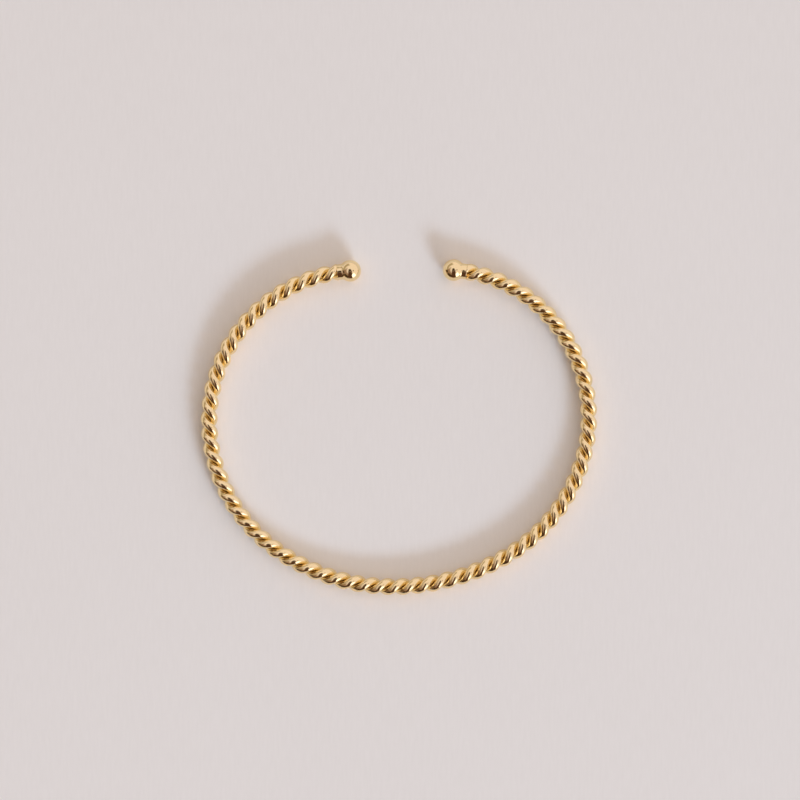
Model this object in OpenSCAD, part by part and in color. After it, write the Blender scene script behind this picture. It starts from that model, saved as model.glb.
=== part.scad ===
// Open bangle of two round wires twisted into a rope, with a small ball on each end.
// The rope is bent into a flat, slightly uneven loop. It lies on the plane Z = 0, seen from above
// along Z, with the gap between the balls on the +Y side. Sizes are in millimetres.

/* [Bangle] */
// Outer width of the bangle, from side to side
bangle_w = 63.45; // [58:0.05:72]

/* [Twisted wires] */
// Diameter of each round wire
wire_d = 1.35; // [1.1:0.05:1.4]
// Free space between the two wires in the middle of the rope
wire_gap = 0.04; // [0.02:0.01:0.08]
// Length of one full turn of the twist at the left end of the rope
pitch_left = 4.88; // [4.75:0.01:5.4]
// Length of one full turn of the twist at the right end of the rope
pitch_right = 4.78; // [4.75:0.01:5.4]
// Distance along the rope from the left ball's centre to where the wires first lie side by side
first_lobe = 4.18; // [2.2:0.01:4.6]

/* [Ball ends] */
// Diameter of each ball
ball_d = 3.5; // [3.2:0.05:4]
// Diameter of the short neck between a ball and the rope
neck_d = 2.5; // [2.3:0.05:2.7]
// Distance from a ball's centre to the flat end of its neck
neck_reach = 2.1; // [2:0.05:2.6]
// Radius of the hollow curve where the neck widens into the ball
neck_fillet = 0.65; // [0.1:0.05:0.7]
// Space between the neck and the cut ends of the wires
end_gap = 0.09; // [0.07:0.01:0.15]

/* [Hidden] */
gold = "#D8AC5E";
wire_sides = 10;      // flat sides round a wire
rings_per_turn = 12;  // outlines of a wire in one turn of the twist
ball_sides = 96;      // flat sides round a ball and its neck
curve_sides = 64;     // flat sides in a whole circle of the neck's hollow curve

// The bends of the rope's middle line, a row for each, from the left ball anticlockwise round to the
// right ball. Each bend is an arc that runs on smoothly from the one before.
RADIUS = 0;  // column of the bend's radius, for a bangle near 63 mm wide
TURN = 1;    // column of the angle that the bend turns through
bends = [
    [24.26, 47.5],
    [24.03, 48.5],
    [25.62, 46.7],
    [32.45, 31.2],
    [35.88, 33.1],
    [26.55, 43.5],
    [23.74, 49.9],
    [23.45, 51.1],
];
first_heading = 183.9;  // direction of the rope as it leaves the left ball, anticlockwise from +X

wire_r = wire_d / 2;
ball_r = ball_d / 2;
neck_r = neck_d / 2;
wire_offset = wire_r + wire_gap / 2;  // from the rope's middle line to a wire's middle
rope_r = wire_offset + wire_r;

// Middle line of the rope. A place on it is [x, y, heading].
function onward(p, radius, turn) = [
    p.x + radius * (sin(p.z + turn) - sin(p.z)),
    p.y - radius * (cos(p.z + turn) - cos(p.z)),
    p.z + turn
];
function bend_start(i) =
    i == 0 ? [0, 0, first_heading] : onward(bend_start(i - 1), bends[i - 1][RADIUS], bends[i - 1][TURN]);
function bend_length(i) = bends[i][RADIUS] * bends[i][TURN] * PI / 180;
function length_before(i) = i == 0 ? 0 : length_before(i - 1) + bend_length(i - 1);

starts = [for (i = [0 : len(bends)]) bend_start(i)];
lengths = [for (i = [0 : len(bends)]) length_before(i)];
function bend_at(s) = max([for (i = [0 : len(bends) - 1]) s >= lengths[i] ? i : 0]);
function drawn_place(s) =
    let (i = bend_at(s), radius = bends[i][RADIUS])
    onward(starts[i], radius, (s - lengths[i]) / radius * 180 / PI);

// The bends as drawn above are scaled to the bangle's width and centred.
drawn_l = lengths[len(bends)];
drawn = [for (i = [0 : 360]) drawn_place(drawn_l * i / 360)];
drawn_left = min([for (p = drawn) p.x]);
drawn_right = max([for (p = drawn) p.x]);
drawn_low = min([for (p = drawn) p.y]);
drawn_high = max(drawn[0].y, drawn[360].y);
scale_up = (bangle_w - 2 * rope_r) / (drawn_right - drawn_left);
line_l = drawn_l * scale_up;
middle_x = (drawn_left + drawn_right) / 2 * scale_up;
middle_y = (drawn_high * scale_up + ball_r + drawn_low * scale_up - rope_r) / 2;
function place(s) =
    let (p = drawn_place(s / scale_up)) [p.x * scale_up - middle_x, p.y * scale_up - middle_y, p.z];

// The balls are thicker than the rope, so the bangle leans by a fraction of a degree where it lies:
// it rests on the two balls and on the side of the loop across from them.
ball_y = drawn_high * scale_up - middle_y;
far_y = drawn_low * scale_up - middle_y;
lean = asin((ball_r - rope_r) / (ball_y - far_y));
lift = ball_r - ball_y * sin(lean);
module lying() {
    translate([0, 0, lift]) rotate([lean, 0, 0]) children();
}

// Angle that the wires have turned about the middle line at a distance s from the left ball's centre.
// The number of turns in a millimetre changes evenly along the rope.
rate_left = 360 / pitch_left;
rate_right = 360 / pitch_right;
function turned(s) = rate_left * s + (rate_right - rate_left) * s * s / (2 * line_l);
function twist(s) = turned(s) - turned(first_lobe);

// A wire's outline where the rope is cut square across. The wire crosses the cut at a slant, so its
// round section shows as a bean, bent round the rope's middle line.
mean_rate = (rate_left + rate_right) / 2;
slant = atan(wire_offset * mean_rate * PI / 180);
wire_outline = [
    for (i = [0 : wire_sides - 1])
        let (
            t = 360 * i / wire_sides,
            out = wire_offset + wire_r * cos(t),
            across = -wire_r * sin(t) * cos(slant),
            bend = -wire_r * sin(t) * sin(slant) * mean_rate
        )
        [out * cos(bend) - across * sin(bend), out * sin(bend) + across * cos(bend)]
];

// A wire: its outline carried along the rope, turning left-handed about the middle line.
wire_start = neck_reach + end_gap;
wire_end = line_l - wire_start;
bands = round((wire_end - wire_start) / ((pitch_left + pitch_right) / 2) * rings_per_turn);
function ring(s, start_angle) =
    let (p = place(s), a = twist(s) + start_angle)
    [
        for (q = wire_outline)
            let (out = q.x * cos(a) - q.y * sin(a), up = q.x * sin(a) + q.y * cos(a))
            [p.x + out * sin(p.z), p.y - out * cos(p.z), up]
    ];

// The two rows of faces that look at the other wire are split along the diagonal that leaves them
// hollow, which keeps the wires apart. The other rows are split along the full one.
function looks_inward(i) = abs(i + 0.5 - wire_sides / 2) < 1;
module twisted_wire(start_angle) {
    points = [
        for (k = [0 : bands])
            each ring(wire_start + (wire_end - wire_start) * k / bands, start_angle)
    ];
    sides = [
        for (k = [0 : bands - 1], i = [0 : wire_sides - 1])
            let (
                j = (i + 1) % wire_sides,
                a = k * wire_sides + i,
                b = k * wire_sides + j,
                c = a + wire_sides,
                d = b + wire_sides
            )
            each looks_inward(i) ? [[a, c, b], [c, d, b]] : [[a, d, b], [a, c, d]]
    ];
    first_cap = [for (i = [0 : wire_sides - 1]) i];
    last_cap = [for (i = [wire_sides - 1 : -1 : 0]) bands * wire_sides + i];
    color(gold) lying() polyhedron(points = points, faces = concat(sides, [first_cap, last_cap]));
}

// A ball and its neck. The neck points along heading, to the middle of the rope's end. It widens into
// the ball in a hollow curve that runs on smoothly from both.
fillet_x = neck_r + neck_fillet;
fillet_z = sqrt(pow(ball_r + neck_fillet, 2) - pow(fillet_x, 2));
module ball_profile() {
    difference() {
        union() {
            intersection() {
                circle(r = ball_r, $fn = ball_sides);
                translate([0, -ball_d]) square([ball_d, 2 * ball_d]);
            }
            square([neck_r, neck_reach]);
            polygon([
                [0, 0],
                [fillet_x, fillet_z] * ball_r / (ball_r + neck_fillet),
                [neck_r, fillet_z],
                [0, fillet_z]
            ]);
        }
        translate([fillet_x, fillet_z]) circle(r = neck_fillet, $fn = curve_sides);
    }
}
module ball_end(p, heading) {
    color(gold) lying() translate([p.x, p.y, 0]) rotate([0, 90, heading])
        rotate_extrude($fn = ball_sides) ball_profile();
}

module twisted_wire_a() {
    twisted_wire(0);
}
module twisted_wire_b() {
    twisted_wire(180);
}
module ball_end_left() {
    ball_end(place(0), place(wire_start / 2).z);
}
module ball_end_right() {
    ball_end(place(line_l), place(line_l - wire_start / 2).z + 180);
}

twisted_wire_a();
twisted_wire_b();
ball_end_left();
ball_end_right();
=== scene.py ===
"""The twisted wire bangle, dressed: two smooth round wires and two ball ends in polished pale gold.

Everything is in metres, in the frame of the CAD model: Z up, the gap between the balls towards +Y.
"""

import math
from collections import namedtuple

import bpy
import numpy as np
from mathutils import Matrix, Vector


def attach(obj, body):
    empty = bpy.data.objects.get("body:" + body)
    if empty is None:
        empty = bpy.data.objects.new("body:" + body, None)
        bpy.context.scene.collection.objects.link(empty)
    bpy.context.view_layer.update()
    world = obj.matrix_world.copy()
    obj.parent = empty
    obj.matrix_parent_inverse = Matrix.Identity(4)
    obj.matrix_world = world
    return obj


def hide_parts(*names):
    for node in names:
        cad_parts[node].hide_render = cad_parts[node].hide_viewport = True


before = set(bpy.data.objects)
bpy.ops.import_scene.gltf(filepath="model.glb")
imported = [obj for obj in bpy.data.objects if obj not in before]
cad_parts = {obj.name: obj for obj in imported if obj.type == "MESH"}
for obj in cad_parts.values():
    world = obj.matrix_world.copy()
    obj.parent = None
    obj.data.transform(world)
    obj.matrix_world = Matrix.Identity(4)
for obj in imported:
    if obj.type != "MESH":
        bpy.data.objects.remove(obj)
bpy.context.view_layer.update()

MM = 0.001

# Sizes of the bangle, the same as in the CAD source
BANGLE_W = 63.45 * MM
WIRE_R = 0.675 * MM
WIRE_GAP = 0.04 * MM
PITCH_LEFT = 4.88 * MM
PITCH_RIGHT = 4.78 * MM
FIRST_LOBE = 4.18 * MM
BALL_R = 1.75 * MM
NECK_R = 1.25 * MM
NECK_REACH = 2.1 * MM
NECK_FILLET = 0.65 * MM
NECK_EDGE = 0.07 * MM  # radius of the neck's rounded edge
Bend = namedtuple("Bend", "radius turn")  # metres for a bangle near 63 mm wide, and degrees
BENDS = [
    Bend(24.26 * MM, 47.5),
    Bend(24.03 * MM, 48.5),
    Bend(25.62 * MM, 46.7),
    Bend(32.45 * MM, 31.2),
    Bend(35.88 * MM, 33.1),
    Bend(26.55 * MM, 43.5),
    Bend(23.74 * MM, 49.9),
    Bend(23.45 * MM, 51.1),
]
FIRST_HEADING = 183.9  # degrees

ROPE_R = 2 * WIRE_R + WIRE_GAP / 2
TOUCHING_R = ROPE_R / 2  # a wire's radius where the two touch, in a rope of the same thickness

# Fineness of the visual meshes
WIRE_SIDES = 28
RINGS_PER_TURN = 40
BALL_SIDES = 72
BALL_STEPS = 40
FILLET_STEPS = 12
EDGE_STEPS = 5
POLE = 0.985 * math.pi  # where a ball's outline starts, just off its axis
LINE_SAMPLES = 361  # places on the middle line that its width is read from


# The middle line of the rope
class MiddleLine:
    """The bends laid end to end, scaled to the bangle's width and centred as the CAD model is."""

    def __init__(self):
        lengths = [b.radius * math.radians(b.turn) for b in BENDS]
        self.before = np.concatenate([[0.0], np.cumsum(lengths)])
        self.starts = [(0.0, 0.0, math.radians(FIRST_HEADING))]
        for b in BENDS:
            self.starts.append(self.onward(self.starts[-1], b.radius, math.radians(b.turn)))
        self.scale, self.middle = 1.0, np.zeros(2)
        drawn, _ = self.at(np.linspace(0, self.before[-1], LINE_SAMPLES))
        self.scale = (BANGLE_W - 2 * ROPE_R) / np.ptp(drawn[:, 0])
        self.length = self.before[-1] * self.scale
        drawn = drawn * self.scale
        low, top = drawn[:, 1].min() - ROPE_R, max(drawn[0, 1], drawn[-1, 1]) + BALL_R
        self.middle = np.array([(drawn[:, 0].min() + drawn[:, 0].max()) / 2, (low + top) / 2])
        # The bangle rests on both balls and on the far side of the loop, so it leans a little.
        ball_y, far_y = top - BALL_R - self.middle[1], low + ROPE_R - self.middle[1]
        lean = math.asin((BALL_R - ROPE_R) / (ball_y - far_y))
        lift = BALL_R - ball_y * math.sin(lean)
        self.lying = Matrix.Translation((0, 0, lift)) @ Matrix.Rotation(lean, 4, "X")

    @staticmethod
    def onward(start, radius, turn):
        """Place and heading at the far end of an arc, with angles in radians."""
        x, y, heading = start
        return (
            x + radius * (np.sin(heading + turn) - math.sin(heading)),
            y - radius * (np.cos(heading + turn) - math.cos(heading)),
            heading + turn,
        )

    def at(self, distance):
        """Places (n, 2) and headings (n) at distances along the line from the left ball's centre."""
        s = np.asarray(distance, float) / self.scale
        bend = np.clip(np.searchsorted(self.before, s, side="right") - 1, 0, len(BENDS) - 1)
        places, headings = np.zeros((len(s), 2)), np.zeros(len(s))
        for i, b in enumerate(BENDS):
            here = bend == i
            x, y, h = self.onward(self.starts[i], b.radius, (s[here] - self.before[i]) / b.radius)
            places[here, 0], places[here, 1], headings[here] = x, y, h
        return places * self.scale - self.middle, headings


line = MiddleLine()


def twist(distance):
    """Angle that the wires have turned about the middle line, 0 where they first lie side by side."""
    left, right = 2 * math.pi / PITCH_LEFT, 2 * math.pi / PITCH_RIGHT

    def turned(s):
        return left * s + (right - left) * s * s / (2 * line.length)

    return turned(distance) - turned(FIRST_LOBE)


# Meshes
def tube_faces(rings, sides):
    """Quads between neighbouring rings of points, and a cap over each end ring."""
    k, i = np.meshgrid(np.arange(rings - 1), np.arange(sides), indexing="ij")
    j = (i + 1) % sides
    quads = np.stack([k * sides + i, (k + 1) * sides + i, (k + 1) * sides + j, k * sides + j], -1)
    caps = [list(range(sides)), [(rings - 1) * sides + m for m in reversed(range(sides))]]
    return quads.reshape(-1, 4).tolist(), caps


def new_piece(name, points, faces, flat_faces=()):
    """A mesh object of smooth-shaded faces and flat-shaded ones."""
    mesh = bpy.data.meshes.new(name)
    mesh.from_pydata(points, [], list(faces) + list(flat_faces))
    smooth = np.ones(len(mesh.polygons), bool)
    smooth[len(faces):] = False
    mesh.polygons.foreach_set("use_smooth", smooth)
    mesh.update()
    piece = bpy.data.objects.new(name, mesh)
    bpy.context.scene.collection.objects.link(piece)
    return piece


def store(piece, name, values):
    """A value for each vertex, which the material reads."""
    kind = "FLOAT_VECTOR" if values.ndim == 2 else "FLOAT"
    field = "vector" if values.ndim == 2 else "value"
    attribute = piece.data.attributes.new(name, kind, "POINT")
    attribute.data.foreach_set(field, values.astype(np.float32).ravel())


def wire(name, start_angle):
    """A smooth round wire that turns left-handed about the middle line and touches the other wire."""
    start, end = NECK_REACH - NECK_EDGE, line.length - NECK_REACH + NECK_EDGE
    rings = round((end - start) / ((PITCH_LEFT + PITCH_RIGHT) / 2) * RINGS_PER_TURN)
    s = np.linspace(start, end, rings)[:, None]
    t = np.linspace(0, 2 * math.pi, WIRE_SIDES, endpoint=False)[None, :]
    # The round wire cut square across the rope shows as a bean, bent round the middle line.
    rate = math.pi * (1 / PITCH_LEFT + 1 / PITCH_RIGHT)
    slant = math.atan(TOUCHING_R * rate)
    out, across = TOUCHING_R * (1 + np.cos(t)), -TOUCHING_R * np.sin(t) * math.cos(slant)
    angle = twist(s) + start_angle - TOUCHING_R * np.sin(t) * math.sin(slant) * rate
    outward = out * np.cos(angle) - across * np.sin(angle)
    up = out * np.sin(angle) + across * np.cos(angle)
    place, heading = line.at(s[:, 0])
    heading = heading[:, None]
    points = np.stack(
        [place[:, :1] + outward * np.sin(heading), place[:, 1:] - outward * np.cos(heading), up], -1
    )
    sides, caps = tube_faces(rings, WIRE_SIDES)
    piece = new_piece(name, points.reshape(-1, 3).tolist(), sides, caps)
    piece.data.transform(line.lying)
    # Along the wire, and round it, for marks that follow the wire's length
    around = np.broadcast_to(t, (rings, WIRE_SIDES))
    along = np.broadcast_to(s / math.cos(slant), (rings, WIRE_SIDES))
    round_it = [TOUCHING_R * np.cos(around), TOUCHING_R * np.sin(around)]
    store(piece, "wire_place", np.stack([along, *round_it], -1).reshape(-1, 3))
    # How far round the wire a point faces the other wire: the mask for the painted crease shade and the
    # added roughness there
    store(piece, "crease", ((1 - np.cos(around)) / 2).reshape(-1))
    return piece


def arc(centre, radius, first, last, steps):
    """Points of an arc in a turned outline, with angles in radians from the axis of turning."""
    a = np.linspace(first, last, steps)
    return [(centre[0] + radius * math.sin(x), centre[1] + radius * math.cos(x)) for x in a]


def ball_end(name, distance, turn_back):
    """A ball and its neck, which points to the middle of the rope's end and widens into the ball."""
    fillet_x = NECK_R + NECK_FILLET
    fillet_z = math.sqrt((BALL_R + NECK_FILLET) ** 2 - fillet_x**2)
    touch = math.atan2(fillet_x, fillet_z)
    fillet = arc((fillet_x, fillet_z), NECK_FILLET, touch + math.pi, 1.5 * math.pi, FILLET_STEPS)
    rim = (NECK_R - NECK_EDGE, NECK_REACH - NECK_EDGE)
    outline = arc((0, 0), BALL_R, POLE, touch, BALL_STEPS) + fillet[1:]
    outline += arc(rim, NECK_EDGE, 0.5 * math.pi, 0, EDGE_STEPS)
    t = np.linspace(0, 2 * math.pi, BALL_SIDES, endpoint=False)
    points = np.array([[(r * math.cos(a), r * math.sin(a), z) for a in t] for r, z in outline])
    sides, caps = tube_faces(len(outline), BALL_SIDES)
    faces = [f[::-1] for f in sides]
    piece = new_piece(name, points.reshape(-1, 3).tolist(), faces, [c[::-1] for c in caps])
    half_way = distance + (-NECK_REACH if turn_back else NECK_REACH) / 2
    place, heading = line.at([distance])[0], line.at([half_way])[1]
    neck_heading = heading[0] + (math.pi if turn_back else 0)
    aim = Matrix.Rotation(neck_heading, 4, "Z") @ Matrix.Rotation(math.pi / 2, 4, "Y")
    piece.data.transform(line.lying @ Matrix.Translation((*place[0], 0)) @ aim)
    store(piece, "wire_place", points.reshape(-1, 3)[:, [2, 0, 1]])
    store(piece, "crease", np.zeros(len(piece.data.vertices)))
    return piece


# Materials
MIX_A, MIX_B, MIX_RESULT = 6, 7, 2  # the colour sockets of a mix node


class Nodes:
    """Short calls for making and joining the nodes of one tree."""

    def __init__(self, tree):
        self.tree = tree
        tree.nodes.clear()

    def add(self, kind, inputs, **settings):
        """A node with its settings, each input set to a value or joined to another node's output."""
        node = self.tree.nodes.new(kind)
        for key, value in settings.items():
            setattr(node, key, value)
        for key, value in inputs.items():
            if isinstance(value, bpy.types.NodeSocket):
                self.tree.links.new(value, node.inputs[key])
            else:
                node.inputs[key].default_value = value
        return node

    def math(self, operation, a, b=0.0):
        return self.add("ShaderNodeMath", {0: a, 1: b}, operation=operation).outputs["Value"]

    def dot(self, a, b):
        inputs = {0: a, 1: b}
        return self.add("ShaderNodeVectorMath", inputs, operation="DOT_PRODUCT").outputs["Value"]

    def coordinates(self, kind):
        return self.add("ShaderNodeTexCoord", {}).outputs[kind]

    def stored(self, name, output):
        """What store() kept for each vertex."""
        node = self.add("ShaderNodeAttribute", {}, attribute_name=name, attribute_type="GEOMETRY")
        return node.outputs[output]

    def stretch(self, place, scale):
        """Places scaled by so much in each direction, for a texture that is finer one way."""
        return self.add("ShaderNodeMapping", {"Vector": place, "Scale": scale}).outputs["Vector"]

    def noise(self, place, scale, detail, roughness=0.5):
        """Soft spots between 0 and 1, mostly near 0.5."""
        inputs = {"Vector": place, "Scale": scale, "Detail": detail, "Roughness": roughness}
        return self.add("ShaderNodeTexNoise", inputs).outputs["Fac"]

    def fit(self, value, low, high, to_low=0.0, to_high=1.0, smooth=False):
        """The value's range low to high carried over to to_low to to_high, and held at its ends."""
        inputs = {"Value": value, 1: low, 2: high, 3: to_low, 4: to_high}
        kind = "SMOOTHSTEP" if smooth else "LINEAR"
        return self.add("ShaderNodeMapRange", inputs, interpolation_type=kind).outputs["Result"]

    def mix(self, factor, a, b):
        """Colour a where the factor is 0, colour b where it is 1."""
        inputs = {"Factor": factor, MIX_A: a, MIX_B: b}
        return self.add("ShaderNodeMix", inputs, data_type="RGBA").outputs[MIX_RESULT]

    def bump(self, strength, depth, height):
        """The surface's direction, tilted by relief of this height."""
        inputs = {"Strength": strength, "Distance": depth, "Height": height}
        return self.add("ShaderNodeBump", inputs).outputs["Normal"]

    def surface(self, inputs):
        """The material's shader, joined to its output."""
        shader = self.add("ShaderNodeBsdfPrincipled", inputs).outputs["BSDF"]
        self.add("ShaderNodeOutputMaterial", {"Surface": shader})


def new_material(name):
    """An empty material and its nodes."""
    material = bpy.data.materials.new(name)
    material.use_nodes = True
    return material, Nodes(material.node_tree)


# The gold plate: its colours, and how often its unevenness repeats in a metre
GOLD_PALE = (0.97, 0.785, 0.455, 1)
GOLD_DEEP = (0.96, 0.765, 0.415, 1)
# Painted shade: a darker gold deep between the wires stands in for the shade that falls there
GOLD_CREASE_SHADE = (0.94, 0.765, 0.42, 1)
DULL_CREASE = 0.16  # added roughness deep between the wires, where polishing doesn't reach
CLOUD_SCALE = 260.0
RIPPLE_SCALE = 900.0
SCRATCH_SCALE = (900.0, 9000.0, 9000.0)  # along the wire, then across it
RIPPLE_HEIGHT = 1.6  # relief of the ripple and the scratches, as shares of a material's depth
SCRATCH_HEIGHT = 0.35
RIPPLE_ROUGHNESS = (-0.02, 0.03)  # roughness that the ripple and the scratches add, least and most
SCRATCH_ROUGHNESS = (-0.03, 0.06)


def gold(name, roughness, depth):
    """Polished pale gold plate, slightly uneven in colour, with painted shade and more roughness in the
    creases, and fine marks.
    """
    material, n = new_material(name)
    solid = n.coordinates("Object")
    clouds = n.fit(n.noise(solid, CLOUD_SCALE, detail=4.0), 0.35, 0.65)
    # Painted shade towards the creases, which also get more roughness
    crease_shade_and_dullness = n.fit(n.stored("crease", "Fac"), 0.3, 0.8)
    colour = n.mix(crease_shade_and_dullness, n.mix(clouds, GOLD_PALE, GOLD_DEEP), GOLD_CREASE_SHADE)

    # Polishing marks run along the wire, so their texture is stretched that way.
    along_wire = n.stretch(n.stored("wire_place", "Vector"), SCRATCH_SCALE)
    scratches = n.noise(along_wire, 1.0, detail=4.0, roughness=0.6)
    ripple = n.noise(solid, RIPPLE_SCALE, detail=2.0)
    least, most = (roughness + added for added in RIPPLE_ROUGHNESS)
    rough = n.fit(ripple, 0.3, 0.7, least, most)
    rough = n.math("ADD", rough, n.fit(scratches, 0.3, 0.75, *SCRATCH_ROUGHNESS))
    rough = n.math("ADD", rough, n.math("MULTIPLY", crease_shade_and_dullness, DULL_CREASE))
    scratch_relief = n.math("MULTIPLY", scratches, SCRATCH_HEIGHT)
    ripple_relief = n.math("MULTIPLY", ripple, RIPPLE_HEIGHT)
    normal = n.bump(1.0, depth, n.math("ADD", scratch_relief, ripple_relief))
    n.surface({"Base Color": colour, "Metallic": 1.0, "Roughness": rough, "Normal": normal})
    return material


# The painted board of the floor: its colours, and how often its unevenness repeats in a metre
FLOOR_PALE = (0.848, 0.793, 0.703, 1)
FLOOR_DARK = (0.817, 0.762, 0.672, 1)
MOTTLE_SCALE = 22.0
MOTTLE_SHARE = 0.25  # how much of its unevenness is mottle, and not brush marks
BRUSH_SCALE = (2300.0, 330.0, 1.0)  # the marks run along Y
GRAIN_SCALE = 1400.0
GRAIN_DEPTH = 0.03 * MM
FLOOR_ROUGHNESS = 0.75
FLOOR_SHINE = 0.25
FLOOR_REACH = 4.0  # metres from its middle to each of its edges


def floor_material():
    """A pale painted board, nearly plain, with faint brush marks, a faint mottle and a fine grain."""
    material, n = new_material("pale_board")
    solid = n.coordinates("Object")
    mottle = n.fit(n.noise(solid, MOTTLE_SCALE, detail=5.0), 0.3, 0.7)
    marks = n.fit(n.noise(n.stretch(solid, BRUSH_SCALE), 1.0, detail=3.0), 0.25, 0.75)
    mottle_part = n.math("MULTIPLY", mottle, MOTTLE_SHARE)
    marks_part = n.math("MULTIPLY", marks, 1 - MOTTLE_SHARE)
    colour = n.mix(n.math("ADD", mottle_part, marks_part), FLOOR_DARK, FLOOR_PALE)
    normal = n.bump(0.5, GRAIN_DEPTH, n.noise(solid, GRAIN_SCALE, detail=4.0))
    matt = {"Roughness": FLOOR_ROUGHNESS, "Specular IOR Level": FLOOR_SHINE}
    n.surface({"Base Color": colour, "Normal": normal, **matt})
    return material


# Colours and brightness of the surroundings, as linear light
ROOM = (0.91, 0.815, 0.84, 1)
TAN = (0.42, 0.345, 0.25, 1)
BROWN = (0.31, 0.205, 0.16, 1)
RED_BROWN = (0.085, 0.042, 0.026, 1)
DARK = (0.05, 0.03, 0.014, 1)
PANES = (2.15, 2.05, 2.2, 1)
PANES_BY_METAL = (11.5, 9.0, 7.2, 1)  # the panes' light that reaches the floor by way of the metal
CEILING_LIGHT = 0.37
CEILING_COLOUR = (0.84, 0.96, 1.04)
WINDOW_LIGHT = 36.6
WINDOW_COLOUR = (0.5, 0.69, 1.0)

# Where the two lights hang as seen from the bangle, in degrees, and their distances and sizes in metres
WINDOW_AZIMUTH = -58.5
WINDOW_ELEVATION = 25.2
WINDOW_DISTANCE = 3.0
WINDOW_SIZE = (1.0, 0.5)
CEILING_DISTANCE = 2.5
CEILING_SIZE = (3.0, 3.0)


def direction(azimuth, elevation):
    """A direction: azimuth in degrees anticlockwise from +X, elevation in degrees above the floor."""
    a, e = math.radians(azimuth), math.radians(elevation)
    return Vector((math.cos(a) * math.cos(e), math.sin(a) * math.cos(e), math.sin(e)))


# Things in the room as seen from the bangle, the near ones last: upright panels, then round patches.
# Angles in degrees, soft is the blur of the edges.
Panel = namedtuple("Panel", "azimuth half_width low high soft colour")
PANELS = [
    Panel(141, 40, 8, 34, 8, TAN),      # curtain
    Panel(224, 44, -8, 54, 8, BROWN),   # brown wall
    Panel(190, 11, -8, 24, 5, DARK),    # doorway
    Panel(243, 31, -8, 29, 6, DARK),    # low furniture
]
WINDOW = Panel(-53, 16, 4, 43, 4, PANES)
CUPBOARD = Panel(271, 19, -8, 84, 3, RED_BROWN)  # tall, in front of the window's edge
Patch = namedtuple("Patch", "azimuth elevation radius soft colour")
PATCHES = [
    Patch(-1, 56, 6, 3, BROWN),         # small lamp, not lit
    Patch(125, 86, 13, 5, DARK),        # dark shade overhead
]


def patch(n, ray, p):
    """1 inside a round patch of the surroundings, 0 outside it."""
    facing = n.dot(ray, direction(p.azimuth, p.elevation))
    far, near = (math.cos(math.radians(p.radius + d)) for d in (p.soft, -p.soft))
    return n.fit(facing, far, near, smooth=True)


def panel(n, ray, height, p):
    """1 inside an upright panel of the surroundings, 0 outside it."""
    sideways = n.math("ABSOLUTE", n.dot(ray, direction(p.azimuth + 90, 0)))
    out, inside = (math.sin(math.radians(p.half_width + d)) for d in (p.soft, -p.soft))
    soft = math.sin(math.radians(p.soft))
    low, high = (math.sin(math.radians(e)) for e in (p.low, p.high))
    shape = n.fit(sideways, out, inside, smooth=True)
    for edge in (
        n.fit(n.dot(ray, direction(p.azimuth, 0)), -soft, soft, smooth=True),
        n.fit(height, low - soft, low + soft, smooth=True),
        n.fit(height, high + soft, high - soft, smooth=True),
    ):
        shape = n.math("MULTIPLY", shape, edge)
    return shape


def room_light():
    """A pale room with a window and dark things in it, which the polished metal mirrors."""
    world = bpy.data.worlds.new("pale_room")
    world.use_nodes = True
    bpy.context.scene.world = world
    n = Nodes(world.node_tree)
    ray = n.coordinates("Generated")
    height = n.add("ShaderNodeSeparateXYZ", {0: ray}).outputs["Z"]
    colour = ROOM
    for p in PANELS:
        colour = n.mix(panel(n, ray, height, p), colour, p.colour)
    panes = panel(n, ray, height, WINDOW)
    colour = n.mix(panes, colour, WINDOW.colour)
    colour = n.mix(panel(n, ray, height, CUPBOARD), colour, CUPBOARD.colour)
    for p in PATCHES:
        colour = n.mix(patch(n, ray, p), colour, p.colour)
    path = n.add("ShaderNodeLightPath", {}).outputs
    not_straight = n.math("SUBTRACT", 1.0, path["Is Diffuse Ray"])
    by_metal = n.math("MULTIPLY", not_straight, n.math("MINIMUM", path["Diffuse Depth"], 1.0))
    colour = n.mix(n.math("MULTIPLY", panes, by_metal), colour, PANES_BY_METAL)
    sky = n.add("ShaderNodeBackground", {"Color": colour, "Strength": 1.0})
    n.add("ShaderNodeOutputWorld", {"Surface": sky.outputs["Background"]})


def soft_light(name, towards, distance, size, brightness, colour):
    """A rectangle of light out of the picture. The metal mirrors the room and not this rectangle."""
    light = bpy.data.lights.new(name, "AREA")
    light.shape = "RECTANGLE"
    light.size, light.size_y = size
    light.energy = brightness * math.pi * size[0] * size[1]
    light.color = colour
    lamp = bpy.data.objects.new(name, light)
    lamp.location = towards * distance
    lamp.rotation_euler = towards.to_track_quat("Z", "Y").to_euler()
    lamp.visible_camera = lamp.visible_glossy = False
    bpy.context.scene.collection.objects.link(lamp)


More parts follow.
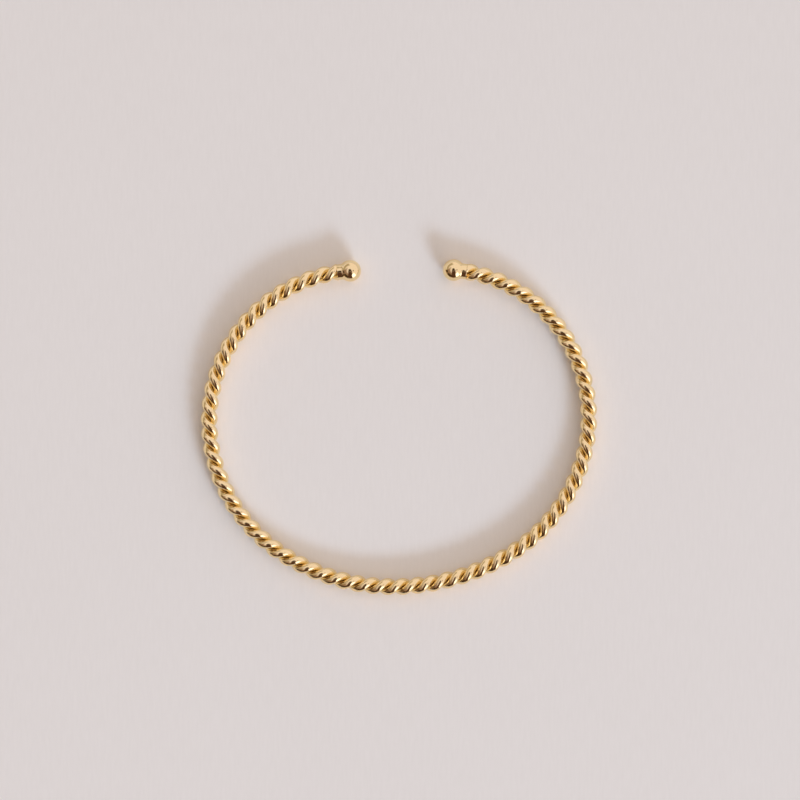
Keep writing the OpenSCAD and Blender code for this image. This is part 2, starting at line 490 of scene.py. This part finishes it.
def floor():
    """The board that the bangle lies on."""
    quarters = ((-1, -1), (1, -1), (1, 1), (-1, 1))
    corners = [(x * FLOOR_REACH, y * FLOOR_REACH, 0) for x, y in quarters]
    board = new_piece("floor", corners, [(0, 1, 2, 3)])
    board.data.materials.append(floor_material())


# The photo looks straight down. Its middle is this point of the floor, and it shows this width at the
# height of the rope's middle line.
PHOTO_MIDDLE = Vector((0.168 * MM, 4.350 * MM, 0))
PHOTO_WIDTH = 128 * MM
CAMERA_HEIGHT = 550 * MM
SENSOR_WIDTH = 36  # millimetres, as the lens is


def camera():
    """The camera looks straight down, sharp throughout."""
    data = bpy.data.cameras.new("camera")
    data.sensor_width = SENSOR_WIDTH
    data.lens = data.sensor_width * (CAMERA_HEIGHT - ROPE_R) / PHOTO_WIDTH
    eye = bpy.data.objects.new("camera", data)
    eye.location = PHOTO_MIDDLE + Vector((0, 0, CAMERA_HEIGHT))
    bpy.context.scene.collection.objects.link(eye)
    bpy.context.scene.camera = eye


camera()
floor()
room_light()
to_window, upwards = direction(WINDOW_AZIMUTH, WINDOW_ELEVATION), Vector((0, 0, 1))
soft_light("window", to_window, WINDOW_DISTANCE, WINDOW_SIZE, WINDOW_LIGHT, WINDOW_COLOUR)
soft_light("ceiling", upwards, CEILING_DISTANCE, CEILING_SIZE, CEILING_LIGHT, CEILING_COLOUR)
bpy.context.scene.view_settings.view_transform = "Standard"

wire_gold = gold("polished_wire_gold", roughness=0.09, depth=0.004 * MM)
ball_gold = gold("polished_ball_gold", roughness=0.07, depth=0.003 * MM)
PIECES = [
    (wire("smooth_wire_a", 0), "twisted_wire_a", "wire", wire_gold),
    (wire("smooth_wire_b", math.pi), "twisted_wire_b", "wire", wire_gold),
    (ball_end("polished_ball_left", 0, False), "ball_end_left", "ball_end", ball_gold),
    (ball_end("polished_ball_right", line.length, True), "ball_end_right", "ball_end", ball_gold),
]
for piece, node, slot, material in PIECES:
    piece.data.materials.append(material)
    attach(piece, "root")
    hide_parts(node)
